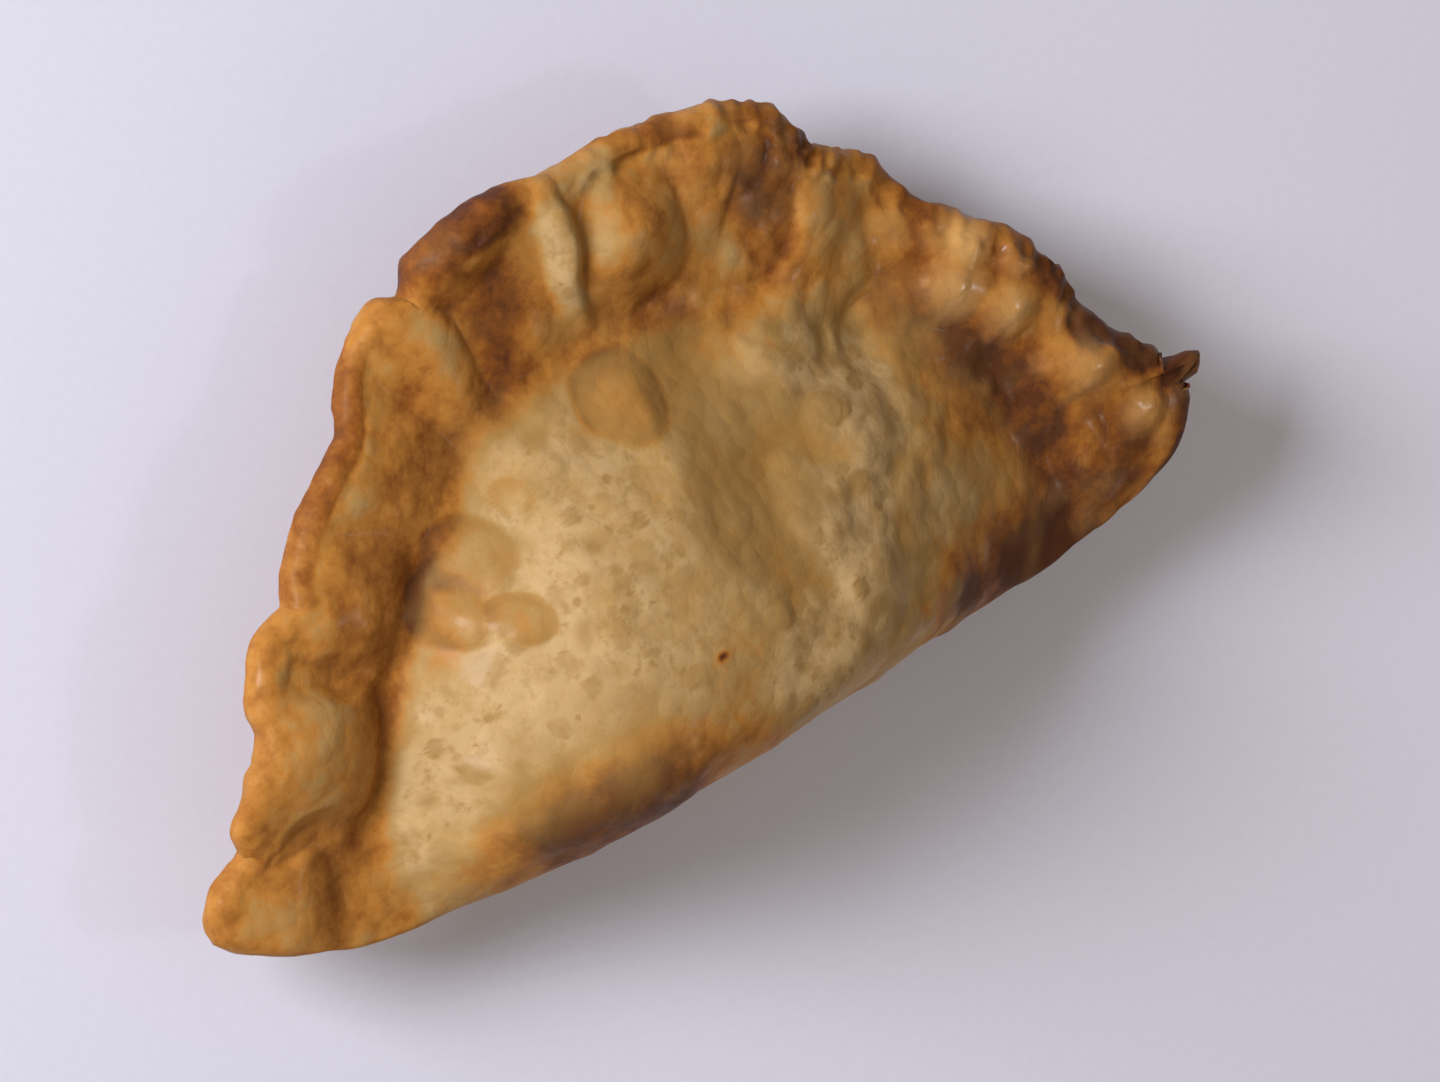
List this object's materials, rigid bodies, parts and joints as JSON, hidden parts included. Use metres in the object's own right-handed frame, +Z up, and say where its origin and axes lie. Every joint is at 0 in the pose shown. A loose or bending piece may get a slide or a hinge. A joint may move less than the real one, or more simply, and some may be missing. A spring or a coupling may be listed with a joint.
{
  "type": "sambusak",
  "caption": "Fried half-moon turnover with a filled belly, a folded straight side and a pinched, blistered rim, lying on its back.",
  "frame": {"origin": "on the table, under the middle of the pastry's box", "axes": "+X along the fold towards the browner tip, +Y from the fold to the pinched rim, +Z up out of the shown face"},
  "size_m": [0.1212, 0.0624, 0.0287],
  "materials": {
    "fried_dough": "golden fried dough, browned at the rim, slightly oily"
  },
  "bodies": {
    "root": {"sambusak": "fried_dough"}
  },
  "joints": []
}
